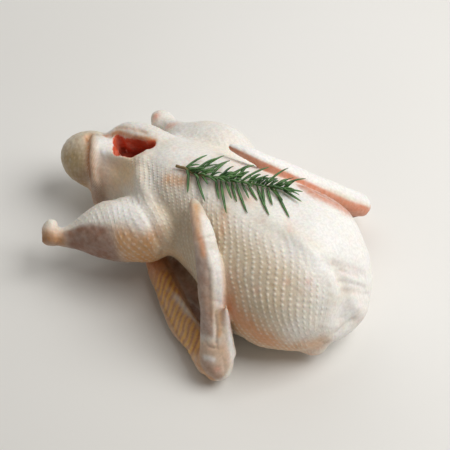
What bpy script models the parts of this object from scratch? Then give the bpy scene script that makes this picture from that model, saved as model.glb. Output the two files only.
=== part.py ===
"""Whole raw duck on its back, wings folded with their tips on the breast, and a rosemary sprig.

The forms are measured in millimetres in the duck's own frame: X from tail to neck, Y to the
duck's right as seen from its tail, Z up. The empty that carries both pieces then puts the
middle of the underside at the origin.
"""

import math

import bmesh
import bpy
import numpy as np
from mathutils import Vector
from mathutils.bvhtree import BVHTree

MM = 0.001
SIDES = 40
STEPS = 48
CORE_VOXEL = 3.0 * MM
SKIN_VOXEL = 2.2 * MM
CORE_SMOOTHING = 12
VENT_VOXEL = 1.5 * MM
SKIN_SMOOTHING = 4
REST_PATCH = 0.9 * MM
DUCK_TRIANGLES = 10800
BREAST_UNDER = 0.85
FLANK_UNDER = 1.05

STEM_RADIUS = 1.3
STEM_RISE = 2.6
NEEDLE_WIDTH = 2.3
NEEDLE_THICKNESS = 1.1
NEEDLE_CLEARANCE = 0.9
INNER_NEEDLES = 16
SEED = 7

# Torso sections, in mm: x, bottom z, top z, half width, height of the widest point, sideways shift
TORSO = (
    (-112, 24, 66, 15, 44, 5),
    (-104, 16, 75, 24, 44, 6),
    (-92, 8, 83, 32, 44, 7),
    (-74, 3, 91, 39, 44, 6),
    (-50, 0, 98, 45, 45, 4),
    (-20, 0, 102, 49, 46, 3),
    (6, 0, 104, 54, 46, 3),
    (32, 0, 105, 62, 46, 0),
    (56, 0, 105, 69, 46, -1),
    (78, 0, 104, 72.5, 46, -1.5),
    (98, 0, 102, 68.5, 46, -2.5),
    (116, 4, 95, 58, 44, -3),
    (130, 8, 82, 46.5, 41, -2.5),
    (140, 15.5, 64, 34, 38.5, -1.5),
    (147, 22.5, 49, 20, 35, -1.5),
    (151, 27, 41, 8.5, 33.5, 2),
)

# Tubes, in mm: x, y, z, half width, half height, roll in degrees
TAIL = (
    (-96, 2, 42, 34, 34, 0),
    (-112, -4, 46, 28, 31, 0),
    (-124, -9, 47, 25, 28, 0),
    (-138, -14, 47, 25, 27, 0),
    (-151, -19.5, 45.5, 20, 21, 0),
    (-160, -23.5, 44, 9, 10, 0),
)
NEAR_LEG = (
    (-14, -36, 56, 14, 16, 0),
    (-28, -42, 56, 25.5, 25.5, 0),
    (-40, -49, 55, 27.5, 27, 0),
    (-57, -57, 50.5, 28, 28, 0),
    (-71, -67, 47, 25, 26, 0),
    (-81, -76, 45, 19, 21, 0),
    (-89, -83, 43, 13, 14, 0),
    (-98, -91, 42, 9, 9, 0),
    (-107, -96, 43, 8, 8, 0),
)
FAR_LEG = (
    (-8, 46, 56, 14, 16, 0),
    (-22, 52, 56, 26, 26, 0),
    (-42, 54, 55, 30, 30, 0),
    (-60, 53, 51, 28, 28, 0),
    (-76, 53, 49, 23, 23, 0),
    (-92, 57, 47, 14, 15, 0),
    (-104, 61, 46, 9, 9, 0),
    (-113, 64, 46, 8, 8, 0),
)
SKIRT = (
    (-128, -12, 74, 7, 5, 0),
    (-122, -16, 66, 8, 8, 0),
    (-117, -20, 54, 9, 9, 0),
    (-115, -23, 40, 9, 8, 0),
    (-113, -29.5, 26, 8, 7, 0),
    (-111, -33, 17, 7, 6, 0),
)
NEAR_LIP = (
    (-112, -13, 68, 5, 6, 0),
    (-103, -14, 75, 5, 6, 0),
    (-90, -12, 79, 5, 6, 0),
    (-78, -8, 83, 5, 6, 0),
    (-70, -2, 86, 5, 6, 0),
)
FAR_LIP = (
    (-124, 8, 67, 6, 8, 0),
    (-113, 14, 77, 9.5, 7.5, 0),
    (-101, 17.5, 82, 10, 7, 0),
    (-87, 19.5, 84, 10, 6.5, 0),
    (-71, 22, 82, 9, 7.5, 0),
    (-58, 25, 78, 6, 8, 0),
)
BELLY_RIM = (
    (-84, 8, 78, 7, 8, 0),
    (-74, -10, 80, 8, 9, 0),
    (-62, -24, 77, 9, 10, 0),
    (-46, -34, 72, 9, 11, 0),
    (-30, -41, 64, 8, 10, 0),
    (-18, -45, 52, 6, 8, 0),
)
KEEL = (
    (50, -4, 98, 7, 9, 0),
    (80, -6, 98, 7, 9, 0),
    (100, -7, 95, 7, 9, 0),
    (116, -8, 86, 7, 9, 0),
    (127, -11, 72, 7, 9, 0),
    (134, -17, 53, 7, 9, 0),
    (138, -24, 35, 6, 8, 0),
)

CORE_FORMS = (TAIL, NEAR_LEG, FAR_LEG, SKIRT, NEAR_LIP, FAR_LIP, BELLY_RIM, KEEL)

# Details that stay crisp
TAIL_FLAP = (
    (-133, -6, 71, 3, 3, 0),
    (-129, -12, 73, 5, 5, 0),
    (-124, -18, 71, 5.5, 5.5, 0),
    (-121, -23, 66, 5.5, 5.5, 0),
    (-118, -26.5, 58.5, 6, 6, 0),
    (-114, -29, 50, 6, 6, 0),
    (-112.5, -31, 39, 6, 6, 0),
    (-113.5, -32, 27, 5, 5, 0),
    (-115, -32, 17, 4, 4, 0),
)
NEAR_HOCK = (
    (-100, -98, 40, 6, 7, 0),
    (-106, -96, 44, 8, 9, 0),
    (-110, -93.5, 47, 8, 8, 0),
    (-112, -88.5, 52, 3.5, 4, 0),
)
NEAR_HOCK_BACK = (
    (-100, -94, 42, 6, 7, 0),
    (-107.5, -98.5, 41, 7, 7, 0),
    (-113, -102, 41.5, 4.5, 5.5, 0),
)
FAR_HOCK = (
    (-102, 60, 45, 8, 8, 0),
    (-110, 63, 44, 10, 9, 0),
    (-119, 65, 42, 11, 10, 0),
    (-127, 65, 40, 5, 6, 0),
)
NEAR_HUMERUS = (
    (90, -46, 22, 16, 15, 0),
    (60, -50, 18, 16, 13, 0),
    (20, -46, 14, 16, 10, 0),
    (-20, -44, 13, 16, 10, 0),
    (-34, -46, 14, 10, 9, 0),
    (-41, -47, 15, 3, 4, 0),
)
NEAR_WEB = (
    (-30, -54, 12, 6, 5, 0),
    (-10, -60, 11, 12, 5, 0),
    (20, -70, 10, 20, 5, 0),
    (40, -78, 10, 20, 5, 0),
    (60, -88, 10, 14, 5, 0),
    (70, -94, 10, 6, 5, 0),
)
NEAR_FOREARM = (
    (-41, -44, 15, 2, 3, 0),
    (-36, -47, 15, 7, 8, 0),
    (-27, -51, 16, 9, 10, 0),
    (-10, -61, 16, 9, 11, 0),
    (10, -72, 16, 9, 11, 0),
    (32, -83, 15, 9, 11, 0),
    (52, -93, 15, 10, 11, 0),
    (70, -101, 14, 10, 11, 0),
    (78, -105, 13, 5, 6, 0),
)
NEAR_HAND = (
    (77, -107, 7, 4, 5, 0),
    (77, -101, 14, 13, 12, 0),
    (74, -96, 24, 14, 12, 0),
    (66, -88, 40, 12, 10, 0),
    (57, -78, 58, 11, 8, 0),
    (49, -70, 75, 11, 7, 0),
    (38, -60, 89, 10, 7, 0),
    (26, -50, 99, 9, 6, 0),
    (13, -40, 105, 7, 5, 0),
    (1, -31, 105, 5, 4, 0),
    (-4, -27, 104, 2, 2, 0),
)
NEAR_THUMB = (
    (80, -88, 21, 7, 7, 0),
    (75.5, -84.5, 34, 6.5, 7, 0),
    (71.5, -81, 46, 5, 6, 0),
    (70, -78, 57, 3.5, 4, 0),
    (68, -75.5, 65, 1.8, 2, 0),
    (67, -74.5, 70, 0.8, 0.8, 0),
)
FAR_FOREARM = (
    (-38, 50, 15, 2, 3, 0),
    (-33, 52, 15, 7, 8, 0),
    (-24, 55, 16, 9, 10, 0),
    (-4, 64, 17, 9, 11, 0),
    (20, 76, 18, 9, 11, 0),
    (44, 88, 20, 9, 11, 0),
    (65, 98, 22, 10, 11, 0),
    (78, 105, 24.5, 9.5, 10, 0),
    (85, 109, 24, 5, 6, 0),
)
FAR_WEB = (
    (-30, 54, 12, 6, 5, 0),
    (-10, 60, 12, 12, 5, 0),
    (20, 70, 12, 20, 5, 0),
    (42, 80, 14, 19, 5, 0),
    (62, 92, 17, 13, 5, 0),
    (76, 101, 20, 6, 5, 0),
)
FAR_HAND = (
    (85.5, 111, 22.5, 4, 5, 0),
    (81, 106, 26.5, 10.5, 9.5, 0),
    (72.5, 95, 38.5, 11.5, 10, 0),
    (61, 83, 53, 11, 9, 0),
    (47, 70, 69, 9.5, 8, 0),
    (30, 57, 84.5, 8.3, 7, 0),
    (12, 46.5, 96, 6.8, 6, 0),
    (-4, 40.5, 101.5, 5, 5, 0),
    (-16, 37.5, 102.5, 2.6, 3, 0),
)
NECK_FOLD = (
    (112, -44, 18, 5, 6, 0),
    (122, -40, 20, 7, 7.5, 0),
    (130, -34.5, 20.5, 9.5, 10, 0),
    (136, -27.5, 26, 5.5, 6, 0),
)
NECK_STUMP = (
    (132, -24, 28, 6, 6, 0),
    (138, -13, 31, 6.5, 7, 0),
    (142.5, -4, 33, 7.5, 7.5, 0),
    (143, 4, 36, 7.5, 8, 0),
    (140, 10, 40, 4.5, 5, 0),
)
VENT = (
    (-98, -2.5, 112, 11, 20, 0),
    (-94, -2.5, 94, 10.8, 19, 0),
    (-93, -2.5, 80, 10.8, 18.5, 0),
    (-83, -1, 66, 12, 17, 0),
    (-66, 2, 56, 14, 15, 0),
    (-50, 3, 50, 12, 12, 0),
    (-38, 3, 48, 5, 5, 0),
)
# The corners that pull the opening out of round
VENT_CORNERS = (
    ((-114.5, 0, 104, 4.5, 5, 0), (-113, 1, 80, 4.5, 5, 0), (-104, 0, 62, 5, 5, 0)),
    ((-79, 6, 108, 4, 5, 0), (-78, 6, 86, 4, 5, 0), (-80, 2, 64, 4, 5, 0)),
    ((-101, -11, 104, 4.5, 5, 0), (-100, -10.5, 80, 4.5, 5, 0), (-96, -6, 62, 5, 5, 0)),
)

# The sprig's stem on the breast, in mm: x, y
STEM = (
    (-38, -7),
    (-30, -5),
    (-22, -5.5),
    (-12, -3),
    (-1, 1.5),
    (7, 4),
    (17, 9.5),
    (28, 15.5),
    (39, 21),
    (47, 25),
    (56, 31),
)
# Its long needles: place along the stem, angle off the stem in degrees, length and lift in mm
NEEDLES = (
    (0.10, 65, 22, 4),
    (0.15, 59, 26, 2),
    (0.21, 62, 23, 7),
    (0.24, 60, 28, 6),
    (0.28, 52, 28, 3),
    (0.35, 58, 19, 5),
    (0.43, 60, 14, 7),
    (0.46, 50, 29, 4),
    (0.52, 47, 20, 7),
    (0.57, 64, 17, 4),
    (0.60, 38, 27, 5),
    (0.65, 32, 18, 2),
    (0.76, 50, 25, 6),
    (0.82, 39, 20, 3),
    (0.86, 27, 25, 6),
    (0.91, -12, 18, 3),
    (0.92, -40, 20, 1),
    (0.94, -36, 14, 4),
    (0.16, -49, 21, -3),
    (0.24, -53, 29, -2),
    (0.29, -49, 13, 3),
    (0.39, -68, 22, -2),
    (0.44, -62, 36, -1),
    (0.49, -65, 22, 2),
    (0.54, -73, 22, -2),
    (0.57, -69, 34, -1),
    (0.61, -66, 20, 2),
    (0.65, -60, 20, 0),
    (0.71, -66, 35, 0),
    (0.75, -77, 21, -1),
    (0.78, -70, 21, 1),
    (0.80, -48, 19, 2),
    (0.85, -61, 33, 0),
)


def mirrored(rows):
    """The same tube on the duck's other side."""
    return tuple((x, -y, z, w, h, -roll) for x, y, z, w, h, roll in rows)


def smooth_rows(rows, count):
    """A Catmull-Rom curve through the rows, read at evenly spaced parameters."""
    rows = np.array(rows, float)
    ends = np.vstack([2 * rows[0] - rows[1], rows, 2 * rows[-1] - rows[-2]])
    out = []
    for t in np.linspace(0, len(rows) - 1, count):
        i = min(int(t), len(rows) - 2)
        f = t - i
        a, b, c, d = ends[i : i + 4]
        out.append(
            0.5 * (2 * b + (c - a) * f + (2 * a - 5 * b + 4 * c - d) * f**2 + (3 * b - a - 3 * c + d) * f**3)
        )
    return np.array(out)


def mesh_from_rings(name, rings):
    """A closed skin over rings of points, with a cap at each end."""
    mesh = bmesh.new()
    loops = [[mesh.verts.new(point) for point in ring] for ring in rings]
    for low, high in zip(loops, loops[1:]):
        for i in range(len(low)):
            j = (i + 1) % len(low)
            mesh.faces.new((low[i], low[j], high[j], high[i]))
    mesh.faces.new(reversed(loops[0]))
    mesh.faces.new(loops[-1])
    bmesh.ops.recalc_face_normals(mesh, faces=mesh.faces)
    data = bpy.data.meshes.new(name)
    mesh.to_mesh(data)
    mesh.free()
    return data


def torso():
    rings = []
    for x, low, high, half, middle, shift in smooth_rows(TORSO, STEPS):
        # The breast is full down to the floor, the flank rounds under
        fullness = min(max((x - 20) / 50, 0), 1)
        under = FLANK_UNDER + (BREAST_UNDER - FLANK_UNDER) * fullness
        ring = []
        for i in range(SIDES):
            angle = 2 * math.pi * i / SIDES
            c, s = math.cos(angle), math.sin(angle)
            if s >= 0:
                y = half * math.copysign(abs(c) ** 0.92, c)
                z = middle + (high - middle) * s**0.92
            else:
                y = half * math.copysign(abs(c) ** under, c)
                z = middle - (middle - low) * abs(s) ** under
            ring.append(Vector((x, y + shift, z)) * MM)
        rings.append(ring)
    return mesh_from_rings("torso", rings)


def tube(name, rows):
    """A tube of oval section. Its width lies level and across its path before the roll."""
    rows = smooth_rows(rows, STEPS)
    centres = rows[:, :3]
    tangents = np.gradient(centres, axis=0)
    rings = []
    for centre, tangent, (half, tall, roll) in zip(centres, tangents, rows[:, 3:]):
        along = Vector(tangent).normalized()
        across = along.cross(Vector((0, 0, 1))).normalized()
        upward = across.cross(along)
        turn = math.radians(roll)
        wide = across * math.cos(turn) + upward * math.sin(turn)
        thick = upward * math.cos(turn) - across * math.sin(turn)
        rings.append(
            [
                (
                    Vector(centre)
                    + wide * max(half, 0.5) * math.cos(2 * math.pi * i / SIDES)
                    + thick * max(tall, 0.5) * math.sin(2 * math.pi * i / SIDES)
                )
                * MM
                for i in range(SIDES)
            ]
        )
    return mesh_from_rings(name, rings)


def joined(name, meshes):
    mesh = bmesh.new()
    for data in meshes:
        mesh.from_mesh(data)
    data = bpy.data.meshes.new(name)
    mesh.to_mesh(data)
    mesh.free()
    return data


def remeshed(name, data, voxel, smoothing):
    """One skin over everything in the mesh, eased by smoothing."""
    obj = bpy.data.objects.new(name, data)
    bpy.context.scene.collection.objects.link(obj)
    remesh = obj.modifiers.new("Remesh", "REMESH")
    remesh.mode = "VOXEL"
    remesh.voxel_size = voxel
    remesh.use_smooth_shade = True
    if smoothing:
        smooth = obj.modifiers.new("Smooth", "SMOOTH")
        smooth.factor = 0.5
        smooth.iterations = smoothing
    graph = bpy.context.evaluated_depsgraph_get()
    made = bpy.data.meshes.new_from_object(obj.evaluated_get(graph))
    bpy.data.objects.remove(obj)
    return made


def cut(name, data, cutter):
    """The mesh with the cutter's volume taken away."""
    obj = bpy.data.objects.new(name, data)
    tool = bpy.data.objects.new(name + " cutter", cutter)
    for each in (obj, tool):
        bpy.context.scene.collection.objects.link(each)
    difference = obj.modifiers.new("Cut", "BOOLEAN")
    difference.operation = "DIFFERENCE"
    difference.solver = "EXACT"
    difference.object = tool
    graph = bpy.context.evaluated_depsgraph_get()
    made = bpy.data.meshes.new_from_object(obj.evaluated_get(graph))
    for each in (obj, tool):
        bpy.data.objects.remove(each)
    return made


def duck_mesh():
    core = joined("core", [torso()] + [tube("form", rows) for rows in CORE_FORMS])
    core = remeshed("core", core, CORE_VOXEL, CORE_SMOOTHING)
    vent = joined("vent", [tube("vent", rows) for rows in (VENT, *VENT_CORNERS)])
    core = cut("core", core, remeshed("vent", vent, VENT_VOXEL, 1))
    details = (
        TAIL_FLAP,
        NEAR_HOCK,
        NEAR_HOCK_BACK,
        FAR_HOCK,
        NEAR_HUMERUS,
        NEAR_WEB,
        NEAR_FOREARM,
        NEAR_HAND,
        NEAR_THUMB,
        mirrored(NEAR_HUMERUS),
        FAR_WEB,
        FAR_FOREARM,
        FAR_HAND,
        NECK_FOLD,
        NECK_STUMP,
    )
    meshes = [core] + [tube("detail", rows) for rows in details]
    data = remeshed("duck", joined("duck", meshes), SKIN_VOXEL, SKIN_SMOOTHING)
    points = np.empty(len(data.vertices) * 3)
    data.vertices.foreach_get("co", points)
    heights = points[2::3]
    np.maximum(heights, heights.min() + REST_PATCH, out=heights)
    data.vertices.foreach_set("co", points)
    return data


def reduced(name, data, triangles):
    """The same skin in fewer triangles."""
    obj = bpy.data.objects.new(name, data)
    bpy.context.scene.collection.objects.link(obj)
    triangulate = obj.modifiers.new("Triangulate", "TRIANGULATE")
    triangulate.quad_method = "BEAUTY"
    decimate = obj.modifiers.new("Decimate", "DECIMATE")
    decimate.ratio = triangles / (2 * len(data.polygons))
    decimate.use_collapse_triangulate = True
    graph = bpy.context.evaluated_depsgraph_get()
    made = bpy.data.meshes.new_from_object(obj.evaluated_get(graph))
    bpy.data.objects.remove(obj)
    return made


def skin_height(skin, x, y):
    """Height of the duck's upper skin over a place, in mm."""
    hit = skin.ray_cast(Vector((x, y, 200)) * MM, Vector((0, 0, -1)))
    return hit[0].z / MM if hit[0] else 0.0


def stem_points(skin):
    points = [
        Vector((x, y, skin_height(skin, x, y) + STEM_RISE)) for x, y in smooth_rows(STEM, 24)
    ]
    # The bare end lifts off the skin a little
    points[0].z += 1.0
    return points


def round_rod(name, points, radii, sides=8):
    rings = []
    for i, (point, radius) in enumerate(zip(points, radii)):
        along = (points[min(i + 1, len(points) - 1)] - points[max(i - 1, 0)]).normalized()
        across = along.cross(Vector((0, 0, 1))).normalized()
        upward = across.cross(along)
        rings.append(
            [
                (point + radius * (across * math.cos(turn) + upward * math.sin(turn))) * MM
                for turn in (2 * math.pi * k / sides for k in range(sides))
            ]
        )
    return mesh_from_rings(name, rings)


def needle(skin, points, place, angle, length, lift):
    """A thin leaf that leaves the stem at an angle, rises, and bends down to the skin."""
    index = place * (len(points) - 1)
    low = min(int(index), len(points) - 2)
    base = points[low].lerp(points[low + 1], index - low)
    along = (points[low + 1] - points[low]).normalized()
    turn = math.radians(angle)
    out = Vector(
        (
            along.x * math.cos(turn) - along.y * math.sin(turn),
            along.x * math.sin(turn) + along.y * math.cos(turn),
            0,
        )
    ).normalized()
    side = Vector((-out.y, out.x, 0))
    rings = []
    for part, share in ((0, 0.45), (0.18, 0.9), (0.5, 1.0), (0.8, 0.8), (1.0, 0.2)):
        bend = math.copysign(0.05 * length * part * part, -angle)
        point = base + out * length * part + side * bend
        point.z += lift * math.sin(math.pi * 0.62 * part)
        if part:
            floor = max(
                skin_height(skin, point.x + dx, point.y + dy) for dx in (-1.3, 0, 1.3) for dy in (-1.3, 0, 1.3)
            )
            point.z = max(point.z, floor + NEEDLE_CLEARANCE)
        wide = side * NEEDLE_WIDTH / 2 * share
        thick = Vector((0, 0, NEEDLE_THICKNESS / 2 * max(share, 0.5)))
        rings.append([(point + wide) * MM, (point + thick) * MM, (point - wide) * MM, (point - thick) * MM])
    return mesh_from_rings("needle", rings)


def sprig_mesh(skin):
    """Stem and needles as one body."""
    points = stem_points(skin)
    radii = [STEM_RADIUS * (1.0 - 0.45 * i / len(points)) for i in range(len(points))]
    stem = bpy.data.objects.new("stem", round_rod("stem", points, radii))
    bpy.context.scene.collection.objects.link(stem)
    rng = np.random.default_rng(SEED)
    leaves = list(NEEDLES)
    for place in np.linspace(0.1, 0.93, INNER_NEEDLES):
        angle = rng.uniform(15, 45) * rng.choice((-1, 1))
        leaves.append((place, angle, rng.uniform(8, 14), rng.uniform(4, 7)))
    holder = bpy.data.collections.new("leaves")
    for leaf in leaves:
        obj = bpy.data.objects.new("leaf", needle(skin, points, *leaf))
        holder.objects.link(obj)
    bpy.context.scene.collection.children.link(holder)
    union = stem.modifiers.new("Leaves", "BOOLEAN")
    union.operation = "UNION"
    union.solver = "EXACT"
    union.operand_type = "COLLECTION"
    union.collection = holder
    union.use_self = True
    graph = bpy.context.evaluated_depsgraph_get()
    made = bpy.data.meshes.new_from_object(stem.evaluated_get(graph))
    for obj in [stem, *holder.objects]:
        bpy.data.objects.remove(obj)
    bpy.data.collections.remove(holder)
    return made


def painted(name, colour, roughness):
    material = bpy.data.materials.new(name)
    material.use_nodes = True
    shader = material.node_tree.nodes["Principled BSDF"]
    shader.inputs["Base Color"].default_value = (*colour, 1)
    shader.inputs["Roughness"].default_value = roughness
    shader.inputs["Metallic"].default_value = 0.0
    return material


def main():
    for obj in list(bpy.data.objects):
        bpy.data.objects.remove(obj)
    collection = bpy.data.collections.new("whole_duck")
    bpy.context.scene.collection.children.link(collection)

    duck_data = reduced("duck", duck_mesh(), DUCK_TRIANGLES)
    solid = bmesh.new()
    solid.from_mesh(duck_data)
    skin = BVHTree.FromBMesh(solid)
    solid.free()
    sprig_data = sprig_mesh(skin)

    pieces = []
    for name, data, material in (
        ("duck", duck_data, painted("duck skin", (0.74, 0.60, 0.47), 0.45)),
        ("rosemary", sprig_data, painted("rosemary leaf", (0.06, 0.13, 0.05), 0.5)),
    ):
        data.materials.clear()
        data.materials.append(material)
        data.shade_smooth()
        data.set_sharp_from_angle(angle=math.radians(60))
        obj = bpy.data.objects.new(name, data)
        collection.objects.link(obj)
        pieces.append(obj)

    corners = np.array([vertex.co for obj in pieces for vertex in obj.data.vertices])
    low, high = corners.min(axis=0), corners.max(axis=0)
    root = bpy.data.objects.new("whole_duck_origin", None)
    root.location = (-(low[0] + high[0]) / 2, -(low[1] + high[1]) / 2, -low[2])
    collection.objects.link(root)
    for obj in pieces:
        obj.parent = root
    bpy.context.view_layer.update()


main()
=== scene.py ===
"""Looks of the whole raw duck and its rosemary sprig.

The forms are in millimetres in the duck's own frame: X from tail to neck, Z up, and Y to the side
of its right wing, because it lies on its back. ORIGIN carries them to the part's frame.
"""

import math

import bmesh
import bpy
import numpy as np
from mathutils import Matrix, Vector
from mathutils.bvhtree import BVHTree

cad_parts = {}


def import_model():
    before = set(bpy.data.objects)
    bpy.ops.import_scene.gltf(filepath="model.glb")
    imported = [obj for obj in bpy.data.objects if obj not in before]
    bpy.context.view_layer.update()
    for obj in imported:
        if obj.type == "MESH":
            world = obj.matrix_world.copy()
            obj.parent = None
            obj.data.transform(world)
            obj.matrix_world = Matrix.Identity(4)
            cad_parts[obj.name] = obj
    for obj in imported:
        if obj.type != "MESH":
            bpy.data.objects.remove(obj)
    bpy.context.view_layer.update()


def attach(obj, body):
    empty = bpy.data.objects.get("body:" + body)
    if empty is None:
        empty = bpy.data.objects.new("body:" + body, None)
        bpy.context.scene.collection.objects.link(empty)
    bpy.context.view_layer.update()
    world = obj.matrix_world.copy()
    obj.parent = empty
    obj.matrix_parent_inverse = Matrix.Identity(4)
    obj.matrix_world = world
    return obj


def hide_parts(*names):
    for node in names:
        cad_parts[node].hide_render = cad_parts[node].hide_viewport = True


MM = 0.001
UP = Vector((0, 0, 1))
ORIGIN = np.array((5.761, -1.877, -0.825))
SIDES = 40
STEPS = 48
THINNEST = 0.5
CORE_VOXEL = 3.0 * MM
CORE_SMOOTHING = 12
VENT_VOXEL = 1.5 * MM
SKIN_VOXEL = 1.2 * MM
SKIN_SMOOTHING = 14
DUCK_TRIANGLES = 190000
# Exponents of the torso's oval section: less than 1 is fuller, more than 1 slimmer
UPPER_FULLNESS = 0.92
BREAST_UNDER = 0.85
FLANK_UNDER = 1.05

STEM_SIDES = 12
STEM_RADIUS = 1.3
STEM_RISE = 2.6
NEEDLE_WIDTH = 2.3
NEEDLE_THICKNESS = 1.1
NEEDLE_CLEARANCE = 0.9
# A needle's bend as a part of its length, its rise as a part of half a wave, and its tilt in degrees
NEEDLE_BEND = 0.05
NEEDLE_ARCH = 0.62
NEEDLE_TILT = 35
# The short needles that stand up along the stem: number, angles in degrees, lengths and lifts in mm
INNER_NEEDLES = 60
INNER_ANGLES = (15, 45)
INNER_LENGTHS = (8, 14)
INNER_LIFTS = (4, 7)
SEED = 7

# Torso sections, in mm: x, bottom z, top z, half width, height of the widest point, sideways shift
TORSO = (
    (-112, 24, 66, 15, 44, 5),
    (-104, 16, 75, 24, 44, 6),
    (-92, 8, 83, 32, 44, 7),
    (-74, 3, 91, 39, 44, 6),
    (-50, 0, 98, 45, 45, 4),
    (-20, 0, 102, 49, 46, 3),
    (6, 0, 104, 54, 46, 3),
    (32, 0, 105, 62, 46, 0),
    (56, 0, 105, 69, 46, -1),
    (78, 0, 104, 72.5, 46, -1.5),
    (98, 0, 102, 68.5, 46, -2.5),
    (116, 4, 95, 58, 44, -3),
    (130, 8, 82, 46.5, 41, -2.5),
    (140, 15.5, 64, 34, 38.5, -1.5),
    (147, 22.5, 49, 20, 35, -1.5),
    (151, 27, 41, 8.5, 33.5, 2),
)

# Tubes, in mm: x, y, z, half width, half height
TAIL = (
    (-96, 2, 42, 34, 34),
    (-112, -4, 46, 28, 31),
    (-124, -9, 47, 25, 28),
    (-138, -14, 47, 25, 27),
    (-151, -19.5, 45.5, 20, 21),
    (-160, -23.5, 44, 9, 10),
)
NEAR_LEG = (
    (-14, -36, 56, 14, 16),
    (-28, -42, 56, 25.5, 25.5),
    (-40, -49, 55, 27.5, 27),
    (-57, -57, 50.5, 28, 28),
    (-71, -67, 47, 25, 26),
    (-81, -76, 45, 19, 21),
    (-89, -83, 43, 13, 14),
    (-98, -91, 42, 9, 9),
    (-107, -96, 43, 8, 8),
)
FAR_LEG = (
    (-8, 46, 56, 14, 16),
    (-22, 52, 56, 26, 26),
    (-42, 54, 55, 30, 30),
    (-60, 53, 51, 28, 28),
    (-76, 53, 49, 23, 23),
    (-92, 57, 47, 14, 15),
    (-104, 61, 46, 9, 9),
    (-113, 64, 46, 8, 8),
)
SKIRT = (
    (-128, -12, 74, 7, 5),
    (-122, -16, 66, 8, 8),
    (-117, -20, 54, 9, 9),
    (-115, -23, 40, 9, 8),
    (-113, -29.5, 26, 8, 7),
    (-111, -33, 17, 7, 6),
)
NEAR_LIP = (
    (-112, -13, 68, 5, 6),
    (-103, -14, 75, 5, 6),
    (-90, -12, 79, 5, 6),
    (-78, -8, 83, 5, 6),
    (-70, -2, 86, 5, 6),
)
FAR_LIP = (
    (-124, 8, 67, 6, 8),
    (-113, 14, 77, 9.5, 7.5),
    (-101, 17.5, 82, 10, 7),
    (-87, 19.5, 84, 10, 6.5),
    (-71, 22, 82, 9, 7.5),
    (-58, 25, 78, 6, 8),
)
BELLY_RIM = (
    (-84, 8, 78, 7, 8),
    (-74, -10, 80, 8, 9),
    (-62, -24, 77, 9, 10),
    (-46, -34, 72, 9, 11),
    (-30, -41, 64, 8, 10),
    (-18, -45, 52, 6, 8),
)
KEEL = (
    (50, -4, 98, 7, 9),
    (80, -6, 98, 7, 9),
    (100, -7, 95, 7, 9),
    (116, -8, 86, 7, 9),
    (127, -11, 72, 7, 9),
    (134, -17, 53, 7, 9),
    (138, -24, 35, 6, 8),
)

CORE_FORMS = (TAIL, NEAR_LEG, FAR_LEG, SKIRT, NEAR_LIP, FAR_LIP, BELLY_RIM, KEEL)

# Details that stay crisp
TAIL_FLAP = (
    (-133, -6, 71, 3, 3),
    (-129, -12, 73, 5, 5),
    (-124, -18, 71, 5.5, 5.5),
    (-121, -23, 66, 5.5, 5.5),
    (-118, -26.5, 58.5, 6, 6),
    (-114, -29, 50, 6, 6),
    (-112.5, -31, 39, 6, 6),
    (-113.5, -32, 27, 5, 5),
    (-115, -32, 17, 4, 4),
)
NEAR_HOCK = (
    (-100, -98, 40, 6, 7),
    (-106, -96, 44, 8, 9),
    (-110, -93.5, 47, 8, 8),
    (-112, -88.5, 52, 3.5, 4),
)
NEAR_HOCK_BACK = (
    (-100, -94, 42, 6, 7),
    (-107.5, -98.5, 41, 7, 7),
    (-113, -102, 41.5, 4.5, 5.5),
)
FAR_HOCK = (
    (-102, 60, 45, 8, 8),
    (-110, 63, 44, 10, 9),
    (-119, 65, 42, 11, 10),
    (-127, 65, 40, 5, 6),
)
NEAR_HUMERUS = (
    (90, -46, 22, 16, 15),
    (60, -50, 18, 16, 13),
    (20, -46, 14, 16, 10),
    (-20, -44, 13, 16, 10),
    (-34, -46, 14, 10, 9),
    (-41, -47, 15, 3, 4),
)
NEAR_WEB = (
    (-30, -54, 12, 6, 5),
    (-10, -60, 11, 12, 5),
    (20, -70, 10, 20, 5),
    (40, -78, 10, 20, 5),
    (60, -88, 10, 14, 5),
    (70, -94, 10, 6, 5),
)
NEAR_FOREARM = (
    (-41, -44, 15, 2, 3),
    (-36, -47, 15, 7, 8),
    (-27, -51, 16, 9, 10),
    (-10, -61, 16, 9, 11),
    (10, -72, 16, 9, 11),
    (32, -83, 15, 9, 11),
    (52, -93, 15, 10, 11),
    (70, -101, 14, 10, 11),
    (78, -105, 13, 5, 6),
)
NEAR_HAND = (
    (77, -107, 7, 4, 5),
    (77, -101, 14, 13, 12),
    (74, -96, 24, 14, 12),
    (66, -88, 40, 12, 10),
    (57, -78, 58, 11, 8),
    (49, -70, 75, 11, 7),
    (38, -60, 89, 10, 7),
    (26, -50, 99, 9, 6),
    (13, -40, 105, 7, 5),
    (1, -31, 105, 5, 4),
    (-4, -27, 104, 2, 2),
)
NEAR_THUMB = (
    (80, -88, 21, 7, 7),
    (75.5, -84.5, 34, 6.5, 7),
    (71.5, -81, 46, 5, 6),
    (70, -78, 57, 3.5, 4),
    (68, -75.5, 65, 1.8, 2),
    (67, -74.5, 70, 0.8, 0.8),
)
FAR_FOREARM = (
    (-38, 50, 15, 2, 3),
    (-33, 52, 15, 7, 8),
    (-24, 55, 16, 9, 10),
    (-4, 64, 17, 9, 11),
    (20, 76, 18, 9, 11),
    (44, 88, 20, 9, 11),
    (65, 98, 22, 10, 11),
    (78, 105, 24.5, 9.5, 10),
    (85, 109, 24, 5, 6),
)
FAR_WEB = (
    (-30, 54, 12, 6, 5),
    (-10, 60, 12, 12, 5),
    (20, 70, 12, 20, 5),
    (42, 80, 14, 19, 5),
    (62, 92, 17, 13, 5),
    (76, 101, 20, 6, 5),
)
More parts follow.
